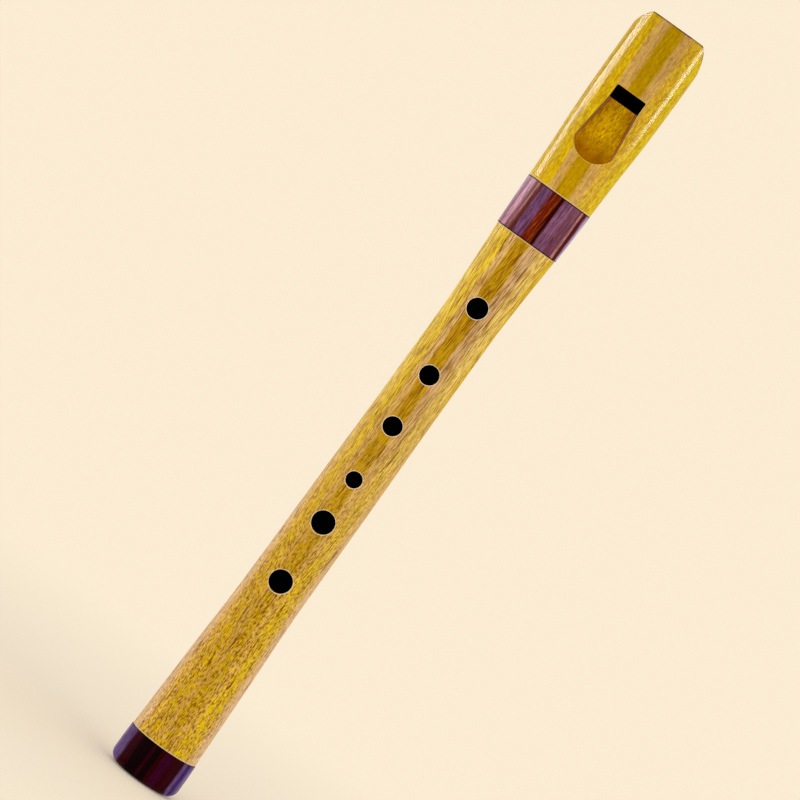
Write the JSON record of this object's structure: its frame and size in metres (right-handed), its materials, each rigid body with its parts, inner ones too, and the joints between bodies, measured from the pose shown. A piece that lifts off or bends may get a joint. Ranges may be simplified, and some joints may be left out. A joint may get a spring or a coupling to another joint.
{
  "type": "vertical wooden flute",
  "caption": "End-blown wooden duct flute in two joints: beaked head with window and labium ramp, finger-hole body on a corked tenon, dark wood rings.",
  "frame": {"origin": "centre of the foot ring's flat end face, where the flute stands", "axes": "+Z along the bore towards the mouth end, -Y out of the front, through the window and the finger holes"},
  "size_m": [0.0286, 0.0274, 0.3212],
  "materials": {
    "yellow_wood": "satin, straight grain with fine dark pores",
    "yellow_wood_polished": "polished, striped grain",
    "cedar": "planed, unvarnished",
    "rosewood": "polished, striped purple and red brown",
    "dark_rosewood": "polished, near black",
    "cork": "sanded cork"
  },
  "bodies": {
    "lower_joint": {"body_joint": "yellow_wood", "foot_ring": "dark_rosewood"},
    "cork_sleeve": {"tenon_cork": "cork"},
    "upper_joint": {"head_joint": "yellow_wood_polished", "fipple_block": "cedar", "socket_ring": "rosewood"}
  },
  "joints": [
    {"name": "head_twist", "type": "hinge", "parent": "lower_joint", "child": "cork_sleeve", "pos_m": [0, 0, 0.2306], "axis": [0, 0, 1], "continuous": true},
    {"name": "head_pull", "type": "slide", "parent": "cork_sleeve", "child": "upper_joint", "axis": [0, 0, 1], "range_m": [0, 0.03]}
  ]
}
